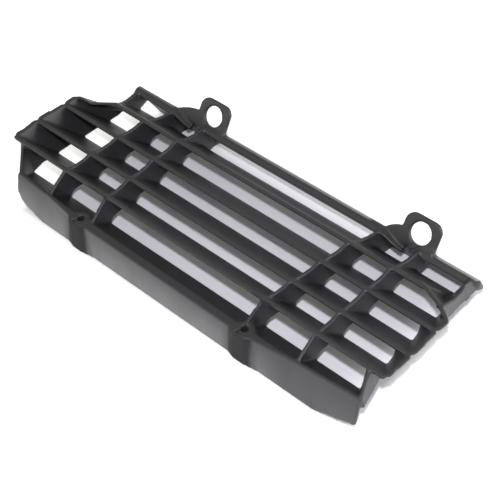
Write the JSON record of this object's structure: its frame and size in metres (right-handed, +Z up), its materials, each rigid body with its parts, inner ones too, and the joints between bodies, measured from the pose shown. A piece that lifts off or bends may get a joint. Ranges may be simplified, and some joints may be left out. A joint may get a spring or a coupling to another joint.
{
  "type": "radiator guard",
  "caption": "Moulded plastic louvre grille with cross ribs, screw bosses and eyed lugs, fixed over a motorcycle's radiator to let air in and keep stones out.",
  "frame": {"origin": "centre of the bounding box, on the table that the guard lies on", "axes": "+X along the blades toward the lipped end, +Y from the wall with the screw bosses to the wall with the lugs, +Z up"},
  "size_m": [0.274, 0.1192, 0.0352],
  "materials": {
    "moulded_plastic": "satin black moulded plastic with a faint sheen"
  },
  "bodies": {
    "root": {"radiator_guard": "moulded_plastic"}
  },
  "joints": []
}
